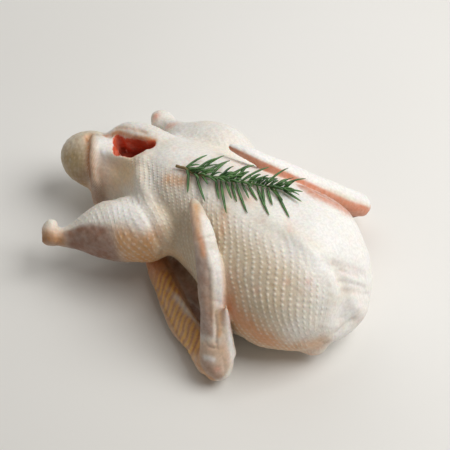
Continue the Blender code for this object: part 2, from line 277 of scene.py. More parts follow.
FAR_HAND = (
    (85.5, 111, 22.5, 4, 5),
    (81, 106, 26.5, 10.5, 9.5),
    (72.5, 95, 38.5, 11.5, 10),
    (61, 83, 53, 11, 9),
    (47, 70, 69, 9.5, 8),
    (30, 57, 84.5, 8.3, 7),
    (12, 46.5, 96, 6.8, 6),
    (-4, 40.5, 101.5, 5, 5),
    (-16, 37.5, 102.5, 2.6, 3),
)
NECK_FOLD = (
    (112, -44, 18, 5, 6),
    (122, -40, 20, 7, 7.5),
    (130, -34.5, 20.5, 9.5, 10),
    (136, -27.5, 26, 5.5, 6),
)
NECK_STUMP = (
    (132, -24, 28, 6, 6),
    (138, -13, 31, 6.5, 7),
    (142.5, -4, 33, 7.5, 7.5),
    (143, 4, 36, 7.5, 8),
    (140, 10, 40, 4.5, 5),
)
VENT = (
    (-98, -2.5, 112, 11, 20),
    (-94, -2.5, 94, 10.8, 19),
    (-93, -2.5, 80, 10.8, 18.5),
    (-83, -1, 66, 12, 17),
    (-66, 2, 56, 14, 15),
    (-50, 3, 50, 12, 12),
    (-38, 3, 48, 5, 5),
)
# The corners that pull the opening out of round
VENT_CORNERS = (
    ((-114.5, 0, 104, 4.5, 5), (-113, 1, 80, 4.5, 5), (-104, 0, 62, 5, 5)),
    ((-79, 6, 108, 4, 5), (-78, 6, 86, 4, 5), (-80, 2, 64, 4, 5)),
    ((-101, -11, 104, 4.5, 5), (-100, -10.5, 80, 4.5, 5), (-96, -6, 62, 5, 5)),
)

# The sprig's stem on the breast, in mm: x, y
STEM = (
    (-38, -7), (-30, -5), (-22, -5.5), (-12, -3), (-1, 1.5), (7, 4),
    (17, 9.5), (28, 15.5), (39, 21), (47, 25), (56, 31),
)
# Its long needles: place along the stem, angle off the stem in degrees, length and lift in mm
NEEDLES = (
    (0.10, 65, 22, 4), (0.15, 59, 26, 2), (0.21, 62, 23, 7), (0.24, 60, 28, 6), (0.28, 52, 28, 3),
    (0.35, 58, 19, 5), (0.43, 60, 14, 7), (0.46, 50, 29, 4), (0.52, 47, 20, 7), (0.57, 64, 17, 4),
    (0.60, 38, 27, 5), (0.65, 32, 18, 2), (0.76, 50, 25, 6), (0.82, 39, 20, 3), (0.86, 27, 25, 6),
    (0.91, -12, 18, 3), (0.92, -40, 20, 1), (0.94, -36, 14, 4), (0.16, -49, 21, -3),
    (0.24, -53, 29, -2), (0.29, -49, 13, 3), (0.39, -68, 22, -2), (0.44, -62, 36, -1),
    (0.49, -65, 22, 2), (0.54, -73, 22, -2), (0.57, -69, 34, -1), (0.61, -66, 20, 2),
    (0.65, -60, 20, 0), (0.71, -66, 35, 0), (0.75, -77, 21, -1), (0.78, -70, 21, 1),
    (0.80, -48, 19, 2), (0.85, -61, 33, 0),
)


def mirrored(rows):
    """The same tube on the duck's other side."""
    return tuple((x, -y, z, half, tall) for x, y, z, half, tall in rows)


def smooth_rows(rows, count):
    """A Catmull-Rom curve through the rows, read at evenly spaced parameters."""
    rows = np.array(rows, float)
    ends = np.vstack([2 * rows[0] - rows[1], rows, 2 * rows[-1] - rows[-2]])
    out = []
    for t in np.linspace(0, len(rows) - 1, count):
        i = min(int(t), len(rows) - 2)
        f = t - i
        a, b, c, d = ends[i : i + 4]
        square, cube = 2 * a - 5 * b + 4 * c - d, 3 * b - a - 3 * c + d
        out.append(0.5 * (2 * b + (c - a) * f + square * f**2 + cube * f**3))
    return np.array(out)


def mesh_from_rings(name, rings):
    """A closed skin over rings of points, with a cap at each end."""
    mesh = bmesh.new()
    loops = [[mesh.verts.new(point) for point in ring] for ring in rings]
    for low, high in zip(loops, loops[1:]):
        for i in range(len(low)):
            j = (i + 1) % len(low)
            mesh.faces.new((low[i], low[j], high[j], high[i]))
    mesh.faces.new(reversed(loops[0]))
    mesh.faces.new(loops[-1])
    bmesh.ops.recalc_face_normals(mesh, faces=mesh.faces)
    data = bpy.data.meshes.new(name)
    mesh.to_mesh(data)
    mesh.free()
    return data


def torso():
    """The body without its limbs, tail and neck end."""
    rings = []
    for x, low, high, half, middle, shift in smooth_rows(TORSO, STEPS):
        # The breast is full down to the floor, the flank rounds under
        fullness = min(max((x - 20) / 50, 0), 1)
        under = FLANK_UNDER + (BREAST_UNDER - FLANK_UNDER) * fullness
        ring = []
        for i in range(SIDES):
            angle = 2 * math.pi * i / SIDES
            c, s = math.cos(angle), math.sin(angle)
            if s >= 0:
                y = half * math.copysign(abs(c) ** UPPER_FULLNESS, c)
                z = middle + (high - middle) * s**UPPER_FULLNESS
            else:
                y = half * math.copysign(abs(c) ** under, c)
                z = middle - (middle - low) * abs(s) ** under
            ring.append(Vector((x, y + shift, z)) * MM)
        rings.append(ring)
    return mesh_from_rings("torso", rings)


def tube(name, rows):
    """A tube of oval section. Its width lies level and across its path."""
    rows = smooth_rows(rows, STEPS)
    centres = rows[:, :3]
    tangents = np.gradient(centres, axis=0)
    rings = []
    for centre, tangent, (half, tall) in zip(centres, tangents, rows[:, 3:]):
        along = Vector(tangent).normalized()
        across = along.cross(UP).normalized()
        wide = across * max(half, THINNEST)
        thick = across.cross(along) * max(tall, THINNEST)
        turns = [2 * math.pi * i / SIDES for i in range(SIDES)]
        rings.append([(Vector(centre) + wide * math.cos(t) + thick * math.sin(t)) * MM for t in turns])
    return mesh_from_rings(name, rings)


def joined(name, meshes):
    """One mesh of several, each still closed on its own."""
    mesh = bmesh.new()
    for data in meshes:
        mesh.from_mesh(data)
    data = bpy.data.meshes.new(name)
    mesh.to_mesh(data)
    mesh.free()
    return data


def linked(name, data):
    obj = bpy.data.objects.new(name, data)
    bpy.context.scene.collection.objects.link(obj)
    return obj


def applied(obj):
    """The object's mesh with its modifiers applied. The object is removed."""
    graph = bpy.context.evaluated_depsgraph_get()
    made = bpy.data.meshes.new_from_object(obj.evaluated_get(graph))
    bpy.data.objects.remove(obj)
    return made


def remeshed(name, data, voxel, smoothing):
    """One skin over everything in the mesh, eased by smoothing."""
    obj = linked(name, data)
    remesh = obj.modifiers.new("Remesh", "REMESH")
    remesh.mode = "VOXEL"
    remesh.voxel_size = voxel
    remesh.use_smooth_shade = True
    smooth = obj.modifiers.new("Smooth", "SMOOTH")
    smooth.factor = 0.5
    smooth.iterations = smoothing
    return applied(obj)


def cut(name, data, cutter):
    """The mesh with the cutter's volume taken away."""
    obj = linked(name, data)
    tool = linked(name + " cutter", cutter)
    difference = obj.modifiers.new("Cut", "BOOLEAN")
    difference.operation = "DIFFERENCE"
    difference.solver = "EXACT"
    difference.object = tool
    made = applied(obj)
    bpy.data.objects.remove(tool)
    return made


DETAILS = (
    TAIL_FLAP, NEAR_HOCK, NEAR_HOCK_BACK, FAR_HOCK, NEAR_HUMERUS, NEAR_WEB, NEAR_FOREARM, NEAR_HAND,
    NEAR_THUMB, mirrored(NEAR_HUMERUS), FAR_WEB, FAR_FOREARM, FAR_HAND, NECK_FOLD, NECK_STUMP,
)

# Follicles: the gap in mm on breast and belly, the turn of their columns in degrees, and how many
# columns, and follicles along a column, fit into a gap
BREAST_SPACING = 5.9
BELLY_SPACING = 3.9
COLUMN_TURN = 38.5
COLUMNS_TO_GAP = 0.95
STEPS_TO_GAP = 1.45
# How far the skin stands out in mm; a pimple's width and a step along the column, in gaps of columns
PIMPLE_HEIGHT = 0.25
COLUMN_HEIGHT = 0.12
PIMPLE_WIDTH = 0.19
PIMPLE_STEP = 0.72
# Quill rows on the forearms: rows to a mm along each axis, and their height in mm
QUILL_SLANT = (0.197, 0.080, -0.046)
QUILL_HEIGHT = 0.4

# Skin with follicles of its own: form, turn of its rows in degrees, gap in mm, how far they stand out
LIMB_SKIN = (
    (NEAR_LEG, 30, 4.4, 0.33),
    (FAR_LEG, -30, 4.4, 0.2),
    (TAIL, 0, 4.5, 0.15),
    (TAIL_FLAP, 25, 3.4, 0.5),
    (NEAR_FOREARM, 20, 4.0, 0.1),
    (FAR_FOREARM, -20, 4.0, 0.1),
    (NEAR_HAND, 0, 5.0, 0.05),
    (FAR_HAND, 0, 5.0, 0.05),
)

# Lines in the skin, in mm: x, y, z
TAIL_FOLD = (
    (-138, -10, 73), (-130, -15, 75), (-127, -21, 73), (-124, -25, 69), (-119, -31, 60),
    (-115, -33, 48), (-113, -33, 35),
)
FLAP_EDGE = (
    (-132, -11, 76), (-126, -16, 76), (-122, -22, 73), (-119, -27, 69), (-114, -32, 59),
    (-111, -33, 48),
)
LEG_FOLD = (
    (-80, -47, 65), (-66, -47, 76), (-50, -45, 81), (-36, -50, 83), (-23, -57, 77), (-16, -58, 66),
    (-14, -57, 50),
)
BELLY_LINE = (
    (-74, -9, 90), (-70, -18, 88), (-64, -25, 86), (-54, -31, 85), (-43, -37, 82), (-30, -43, 82),
    (-21, -46, 78), (-12, -51, 66),
)
KEEL_LINE = (
    (71, -5, 106), (89, -12, 104), (100, -12, 102), (109, -12, 99), (116, -11, 95), (125, -12, 87),
    (132, -18, 77), (135, -25, 68), (138, -33, 58),
)
NECK_LINES = (
    ((121, -2, 92), (130, 9, 81), (138, 21, 64)),
    ((131, -7, 80), (136, 3, 71), (143, 16, 56)),
    ((136, -7, 71), (141, 4, 63), (145, 17, 47)),
)
PINK_LINE = ((127, 0, 85), (132, 6, 78), (136, 13, 70))
HAND_STRIPE = (
    (5, -34, 110), (12, -41.5, 110), (18.5, -47, 107.5), (23.5, -52.5, 104), (30, -57, 101),
    (35, -61.5, 97),
)
HAND_EDGE = (
    (22, -38, 106), (32, -45, 102), (37, -49, 98), (45, -53, 91), (51, -59, 87), (57, -67, 79),
    (61, -72, 70),
)
HAND_PLANE = ((43, -61, 93), (50, -70, 84), (56, -78, 70), (60, -83, 63), (63, -86, 58))
HAND_FACE = ((42, -54, 95), (46, -58, 92), (52, -64, 86), (58, -71, 77), (62, -75, 67))
HAND_BAND = ((24, -58, 102), (29, -52, 104), (33, -44, 102))
THUMB_LINE = ((62, -81, 62), (64, -84, 59), (67, -87, 55), (69, -89, 52), (71, -92, 47), (73, -95, 43))
THUMB_BAND = ((65, -79, 61), (67, -82, 56), (70, -86, 51), (72, -90, 48))
THUMB_FACE = ((71, -76, 64), (73, -78, 57), (76, -81, 48), (80, -84, 40), (83, -86, 31), (85, -89, 25))
MEMBRANE = ((-12, -45, 23), (4, -51, 22), (16, -56, 21), (26, -60, 21))
THUMB_SIDE = ((66, -68, 66), (76, -72, 60), (86, -72, 56), (96, -70, 49), (104, -67, 42))
TAIL_NOTCH = ((-139, -5, 75), (-137, -12, 73), (-134, -15, 74))
WRIST_LOBE = ((61, -96, 47), (62, -98, 44), (66, -99, 41), (70, -100, 40), (75, -97, 40))
FAR_FOLD = ((56, 49, 89), (67, 46, 92), (77, 47, 91), (86, 50, 87), (94, 53, 83))
FAR_FOLD_BACK = ((54, 49, 89), (60, 50, 88), (68, 53, 86), (79, 53, 87), (88, 55, 83), (95, 57, 79))
FAR_FOLD_TOP = ((56, 55, 85), (64, 56, 84), (73, 58, 82), (82, 59, 81), (90, 61, 76))
FAR_FOLD_EDGE = (
    (48, 47, 90), (58, 43, 92), (68, 41, 94), (78, 38, 96), (87, 38, 95), (93, 42, 92),
    (98, 48, 86),
)
FAR_FLAP_EDGE = ((-121, 4, 75), (-116, 6, 79), (-108, 7, 81), (-98, 8, 83), (-88, 10, 87), (-78, 12, 89))
FAR_FLAP_LINE = ((-122, 9, 77), (-112, 11, 83), (-101, 13, 86), (-90, 14, 89))
# Height of the vent's rim, in mm: x, z
VENT_RIM = ((-124, 77), (-112, 77.5), (-103, 80), (-92, 83), (-83, 87), (-75, 91))

# Creases: path, width and depth in mm
CREASES = (
    (TAIL_FOLD, 2.6, 1.7),
    (TAIL_NOTCH, 2.2, 2.2),
    (((-133, 2, 69), (-126, 1, 72), (-122, 1, 76)), 2.8, 2.6),
    (FAR_FLAP_LINE, 1.6, 0.9),
    (LEG_FOLD, 3.5, 1.6),
    (((-93, -28, 53), (-86, -25, 66), (-81, -22, 74), (-71, -16, 88)), 4.0, 1.0),
    (HAND_BAND, 1.3, 0.9),
    (((45, -68, 90), (52, -76, 78), (58, -83, 66), (63, -88, 55)), 2.0, 0.8),
    (((50, -84, 72), (56, -80, 71), (61, -74, 69)), 1.1, 0.5),
    (THUMB_LINE, 1.6, 1.6),
    (FAR_FOLD_EDGE, 1.5, 1.1),
    (WRIST_LOBE, 1.5, 1.0),
    (((80, -99, 38), (86, -100, 30), (90, -104, 20)), 2.2, 0.9),
    (NECK_LINES[0], 3.0, 1.1),
    (NECK_LINES[1], 2.2, 1.3),
    (NECK_LINES[2], 3.0, 1.0),
    (PINK_LINE, 1.8, 1.1),
    (((117, -8, 95), (130, -5, 83), (139, -8, 67), (143, -19, 54)), 6.0, 2.4),
    (((149, -10, 44), (146, -20, 42), (142, -28, 40), (138, -36, 34)), 3.0, 2.2),
)
# Ridges: path, width and rise in mm
RIDGES = (
    (FAR_FOLD, 3.6, 1.4),
    (FLAP_EDGE, 4.2, 1.0),
    (HAND_PLANE, 2.4, 0.8),
    (KEEL_LINE[2:], 7.0, 0.8),
    (KEEL_LINE[4:], 5.0, 0.6),
    (((-122, -8, 75), (-118, -12, 76), (-114, -16, 76)), 5.0, 1.4),
    (HAND_EDGE, 3.0, 0.9),
    (BELLY_LINE, 5.0, 1.1),
    (((-111, -90, 53),), 4.5, 1.2),
    (((-103, -104, 45),), 4.0, 0.8),
    (((142, -3, 60), (148, -3, 51)), 6.0, 1.6),
    (((147, -1, 50), (150, 2, 38)), 6.0, 1.6),
    (((128, -49, 35),), 6.0, 1.8),
    (((143, -34, 36),), 5.0, 1.8),
    (((-12, -61, 27), (2, -68, 27), (16, -72, 26), (29, -75, 23)), 2.2, 1.0),
)


def ease(value, low, high):
    """0 below low and 1 above high, smooth between."""
    t = np.clip((value - low) / (high - low), 0, 1)
    return t * t * (3 - 2 * t)


def fade(value, low, high):
    """1 below low and 0 above high, smooth between."""
    return 1 - ease(value, low, high)


def waves(points, size, seed, count=10):
    """Smooth noise of about -1 to 1, with features of a size in mm."""
    rng = np.random.default_rng(seed)
    total = np.zeros(len(points))
    for _ in range(count):
        way = rng.normal(size=3)
        way *= rng.uniform(0.7, 1.4) / np.linalg.norm(way)
        total += np.sin(points @ way * (2 * math.pi / size) + rng.uniform(0, 2 * math.pi))
    return total / math.sqrt(count)


def closeness(points, path, width):
    """1 on a path, fading out over a width in mm."""
    line = np.array(path, float)
    if len(line) > 1:
        length = np.linalg.norm(np.diff(line, axis=0), axis=1).sum()
        line = smooth_rows(line, max(int(length / 0.7), 8))
    found = np.zeros(len(points))
    reach = 3 * width
    near = np.all((points > line.min(0) - reach) & (points < line.max(0) + reach), axis=1)
    square = np.full(near.sum(), 1e9)
    for place in line:
        square = np.minimum(square, ((points[near] - place) ** 2).sum(1))
    found[near] = np.exp(-square / width**2)
    return found


def by_form(rows, points):
    """Where each point lies by a tube: mm along it, its turn from the top, and its distance in radii."""
    rows = smooth_rows(rows, 120)
    centres = rows[:, :3]
    along = np.gradient(centres, axis=0)
    along /= np.linalg.norm(along, axis=1)[:, None]
    across = np.cross(along, (0, 0, 1))
    across /= np.linalg.norm(across, axis=1)[:, None]
    upward = np.cross(across, along)
    arc = np.concatenate(([0], np.cumsum(np.linalg.norm(np.diff(centres, axis=0), axis=1))))
    nearest = ((centres**2).sum(1) - 2 * points @ centres.T).argmin(1)
    offset = points - centres[nearest]
    ahead = (offset * along[nearest]).sum(1)
    half, tall = rows[nearest, 3], rows[nearest, 4]
    wide = (offset * across[nearest]).sum(1) / half
    high = (offset * upward[nearest]).sum(1) / tall
    past_end = np.where((nearest == 0) | (nearest == len(rows) - 1), ahead / half, 0)
    return arc[nearest] + ahead, np.arctan2(wide, high), np.sqrt(wide**2 + high**2 + past_end**2)


def over_grid(grid, i, j):
    """The grid's values between its rows and columns."""
    low_i = np.clip(i.astype(int), 0, grid.shape[0] - 2)
    low_j = np.clip(j.astype(int), 0, grid.shape[1] - 2)
    f, g = i - low_i, j - low_j
    first = grid[low_i, low_j] * (1 - g) + grid[low_i, low_j + 1] * g
    second = grid[low_i + 1, low_j] * (1 - g) + grid[low_i + 1, low_j + 1] * g
    return first * (1 - f) + second * f


def on_torso(points):
    """Distances in mm over the torso's skin, along it and down from the keel, and radii off its axis."""
    rows = smooth_rows(TORSO, 140)
    turns = np.linspace(-math.pi, math.pi, 181)
    x, low, high, half, middle, shift = (rows[:, [i]] for i in range(6))
    y = shift + half * np.sin(turns)
    z = middle + np.where(np.cos(turns) > 0, high - middle, middle - low) * np.cos(turns)
    grid = np.stack([x + 0 * y, y, z], axis=2)
    along = np.linalg.norm(np.diff(grid, axis=0), axis=2).cumsum(axis=0)
    along = np.vstack([0 * along[:1], along])
    along -= along[np.abs(rows[:, 0] - 20).argmin()]
    around = np.linalg.norm(np.diff(grid, axis=1), axis=2).cumsum(axis=1)
    around = np.hstack([0 * around[:, :1], around])
    around -= around[:, [90]]
    i = np.interp(points[:, 0], rows[:, 0], np.arange(len(rows)))
    sections = (np.interp(points[:, 0], rows[:, 0], rows[:, k]) for k in range(1, 6))
    low, high, half, middle, shift = sections
    rise = points[:, 2] - middle
    wide = (points[:, 1] - shift) / half
    tall = rise / np.where(rise > 0, high - middle, middle - low)
    j = (np.arctan2(wide, tall) + math.pi) / (2 * math.pi) * 180
    return over_grid(along, i, j), np.abs(over_grid(around, i, j)), np.hypot(wide, tall)


def turned(u, v, degrees):
    c, s = math.cos(math.radians(degrees)), math.sin(math.radians(degrees))
    return u * c - v * s, u * s + v * c


def vent_hollow():
    """The hollow behind the vent, as a form of its own."""
    tubes = joined("vent", [tube("vent", rows) for rows in (VENT, *VENT_CORNERS)])
    return remeshed("vent", tubes, VENT_VOXEL, 1)


def surface(data):
    """The mesh's surface, to find near points on and to cast rays at."""
    solid = bmesh.new()
    solid.from_mesh(data)
    found = BVHTree.FromBMesh(solid)
    solid.free()
    return found


def from_vent(points):
    """Distance in mm from the walls of the vent's hollow, up to 20."""
    hollow = vent_hollow()
    walls = surface(hollow)
    corners = coordinates(hollow)
    found = np.full(len(points), 20.0)
    near = np.all((points > corners.min(0) - 8) & (points < corners.max(0) + 8), axis=1)
    for i in np.flatnonzero(near):
        found[i] = walls.find_nearest(Vector(points[i]) * MM)[3] / MM
    return found


def calf(points):
    """Share of the smooth lower half of the near leg."""
    place, turn, radii = by_form(NEAR_LEG, points)
    lower = fade(radii, 1.2, 1.4) * ease(-turn - 0.0103 * (100 - place), -0.12, 0.22)
    return lower * ease(place, 36, 62) * fade(place, 94, 106)


def follicles(points):
    """The lattice of the feather follicles: column, place in the column, and how far they stand out."""
    u, v, radii = on_torso(points)
    places = np.linspace(-200, 300, 501)
    spacing = BELLY_SPACING + (BREAST_SPACING - BELLY_SPACING) * ease(places, -60, 30)
    counted = np.cumsum(1 / spacing) * (places[1] - places[0])
    local = np.interp(u, places, spacing)
    column, step = turned(np.interp(u, places, counted), v / local, COLUMN_TURN)
    column *= COLUMNS_TO_GAP
    step *= STEPS_TO_GAP
    strength = 0.45 + 0.55 * ease(u, -40, 40)
    bare = np.interp(u, (-60, 40), (18, 38))
    # The skin is stretched smooth over the keel, and smoother on the far side
    stretched = ease(points[:, 1], -12, 8) * fade(v, 62, 85)
    strength *= ease(v, 0.2 * bare, bare) * (1 - 0.75 * stretched) * fade(radii, 1.12, 1.3)
    strength *= (1 - 0.7 * ease(points[:, 0], 116, 140)) * (0.8 + 0.28 * waves(points, 26, 5))
    for rows, turn, gap, standing in LIMB_SKIN:
        place, angle, radii = by_form(rows, points)
        inside = fade(radii, 1.12, 1.4)
        standing *= fade(place, 90, 102)
        size = np.interp(place, (0, 40, 110), (26, 24, 12))
        a, b = turned(place / gap, angle * size / gap, turn)
        chosen = inside > 0.5
        column = np.where(chosen, a, column)
        step = np.where(chosen, b, step)
        strength = np.where(chosen, standing, strength) * np.abs(2 * inside - 1)
    column = column + 0.2 * waves(points, 38, 3)
    step = step + 0.2 * waves(points, 33, 4)
    strength *= (1 - 0.85 * calf(points)) * (1 - 0.9 * closeness(points, THUMB_SIDE, 12))
    strength *= 1 - closeness(points, MEMBRANE, 10)
    return column, step, strength * ease(from_vent(points), 1.5, 4)


def pimple(column, step):
    """1 on each follicle, fading out around it."""
    square = (column - np.round(column)) ** 2 + (PIMPLE_STEP * (step - np.round(step))) ** 2
    return np.exp(-square / PIMPLE_WIDTH**2)


def quill_rows(rows, side, points):
    """Slanting rows of quill follicles on a forearm's outer half: their crests, and where they are."""
    place, turn, radii = by_form(rows, points)
    turn = side * turn
    phase = points @ (np.array(QUILL_SLANT) * (1, side, 1)) + 0.12 * waves(points, 16, 21)
    inside = fade(radii, 1.1, 1.35) * ease(turn, -0.75, -0.4) * fade(turn, 1.7, 2.2)
    inside *= ease(place, 22, 40) * fade(place, 108, 122)
    return ease(np.cos(2 * math.pi * phase), -0.7, 0.7), inside


def relief(points):
    """How far the skin stands out from the plain form at each point, in mm."""
    column, step, strength = follicles(points)
    columns = np.cos(2 * math.pi * column)
    height = strength * (PIMPLE_HEIGHT * pimple(column, step) + COLUMN_HEIGHT * columns)
    for rows, side in ((NEAR_FOREARM, 1), (FAR_FOREARM, -1)):
        stripes, inside = quill_rows(rows, side, points)
        height += QUILL_HEIGHT * (stripes - 0.5) * inside
    for path, width, depth in CREASES:
        height -= depth * closeness(points, path, width)
    for path, width, rise in RIDGES:
        height += rise * closeness(points, path, width)
    height += 0.12 * waves(points, 5, 11) + 0.35 * waves(points, 26, 12)
    flesh = fade(from_vent(points), 0.8, 1.8) * fade(points[:, 2], 72, 78)
    height += flesh * (0.5 * waves(points, 12, 13) + 0.2 * waves(points, 5, 14))
    return height


def coordinates(data):
    points = np.empty(len(data.vertices) * 3)
    data.vertices.foreach_get("co", points)
    return points.reshape(-1, 3) / MM


def set_coordinates(data, points):
    data.vertices.foreach_set("co", (points * MM).ravel())
    data.update()


def normals(data):
    found = np.empty(len(data.vertices) * 3)
    data.vertices.foreach_get("normal", found)
    return found.reshape(-1, 3)


def duck_form():
    """The duck's plain form, with the same tables as its solid and a finer skin."""
    core = joined("core", [torso()] + [tube("form", rows) for rows in CORE_FORMS])
    core = remeshed("core", core, CORE_VOXEL, CORE_SMOOTHING)
    core = cut("core", core, vent_hollow())
    meshes = [core] + [tube("detail", rows) for rows in DETAILS]
    return remeshed("duck", joined("duck", meshes), SKIN_VOXEL, SKIN_SMOOTHING)


def reduced(data, triangles):
    """The same skin in fewer triangles, with its small forms kept."""
    obj = linked("reduced", data)
    obj.modifiers.new("Triangulate", "TRIANGULATE")
    decimate = obj.modifiers.new("Decimate", "DECIMATE")
    decimate.ratio = triangles / (2 * len(data.polygons))
    return applied(obj)


def tone(red, green, blue):
    """A display colour, 0 to 255, as a linear one."""
    values = np.array((red, green, blue)) / 255
    linear = np.where(values <= 0.04045, values / 12.92, ((values + 0.055) / 1.055) ** 2.4)
    return (*linear.tolist(), 1.0)


SKIN = tone(241, 238, 233)
SKIN_DEEP = tone(237, 231, 219)
PINK = tone(230, 196, 178)
FOLLICLE = tone(246, 240, 228)
# Paints of the skin, each laid over those before it. The dark brown one and the darkest red are painted
# shade only; beige, buff, fawn, ochre, mauve and white are also laid as painted shade or painted
# highlights in places, as marked below
PAINTS = {
    "beige": (212, 192, 162),
    "cream": (248, 214, 168),
    "buff": (194, 170, 130),
    "fawn": (208, 178, 154),
    "ochre": (216, 160, 102),
    "mauve": (158, 120, 101),
    "pink": (228, 172, 152),
    "blush": (250, 226, 210),
    "tan": (224, 170, 122),
    "rust": (200, 126, 74),
    "yellow": (238, 186, 100),
    "white": (247, 246, 245),
    "flush": (214, 142, 112),
    # painted shade: a dark brown laid where shade falls, under parts and in folds
    "shade_brown": (134, 88, 66),
    "raw": (222, 100, 66),
    # painted shade: a darker red deep in the vent's hollow
    "hollow_shade": (148, 56, 34),
}
LEAF = tone(80, 126, 62)
LEAF_DARK = tone(32, 72, 36)
LEAF_RIB = tone(140, 170, 122)
LEAF_UNDER = tone(150, 164, 132)
STEM_BARK = tone(130, 110, 72)
FLOOR = tone(240, 239, 237)
FLOOR_SHADE = tone(236, 235, 232)
FLOOR_REACH = 4.0
FLOOR_DROP = 0.0005

CAMERA_PLACE = (0.40383, -0.49200, 0.87373)
# Azimuth, elevation and roll in degrees, then lens and sensor in mm
CAMERA_TURN = (38.5, 52.78, 0.69)
CAMERA_LENS = 96
CAMERA_SENSOR = 36
WORLD_COLOUR = (1.0, 0.94, 0.86, 1.0)
WORLD_STRENGTH = 0.18
LIGHT_TARGET = (0, 0, 0.04)
# Lights: name, place, size in m, watts, colour
LIGHTS = (
    ("window", (0.72, 0.59, 1.31), (1.1, 1.1), 21, (1.0, 0.99, 0.965)),
    ("far window", (-0.91, 0.56, 1.19), (1.4, 1.4), 4.8, (0.97, 0.99, 1.0)),
)

# Turn from the top of the far hand, in radians, at which its pink underside starts
FAR_HAND_TURN = 0.6
